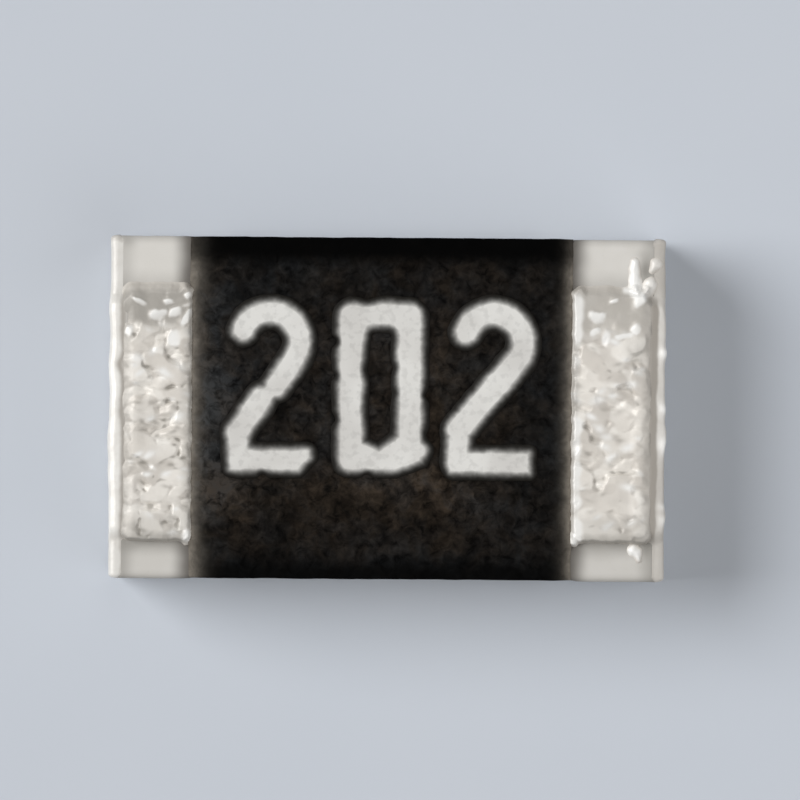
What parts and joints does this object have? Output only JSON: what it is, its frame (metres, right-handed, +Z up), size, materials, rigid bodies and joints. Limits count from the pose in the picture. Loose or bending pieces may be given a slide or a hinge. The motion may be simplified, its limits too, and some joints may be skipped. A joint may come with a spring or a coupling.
{
  "type": "chip resistor",
  "caption": "Flat thick-film chip resistor: a ceramic tile with a black overcoat, open ceramic corners and tin-plated wrap-round end terminals.",
  "frame": {"origin": "middle of the footprint, on the lowest plane of the solder terminals", "axes": "+X from terminal to terminal, +Y across the chip, +Z up from the board to the printed face"},
  "size_m": [0.002, 0.0012, 0.0005],
  "materials": {
    "alumina": "fired, matt",
    "silver_conductor": "fired silver paste",
    "resistor_paste": "fired ruthenium glass, satin",
    "glass_film": "fired, glossy",
    "black_resin": "printed epoxy, satin",
    "edge_metal": "sputtered, smooth",
    "nickel": "plated, satin",
    "matt_tin": "plated, matt and grainy"
  },
  "bodies": {
    "root": {"ceramic_tile": "alumina", "left_top_conductor": "silver_conductor", "right_top_conductor": "silver_conductor", "left_back_conductor": "silver_conductor", "right_back_conductor": "silver_conductor", "resistive_film": "resistor_paste", "trim_glass": "glass_film", "overcoat": "black_resin", "left_edge_film": "edge_metal", "right_edge_film": "edge_metal", "left_nickel_barrier": "nickel", "right_nickel_barrier": "nickel", "left_tin_plating": "matt_tin", "right_tin_plating": "matt_tin"}
  },
  "joints": []
}
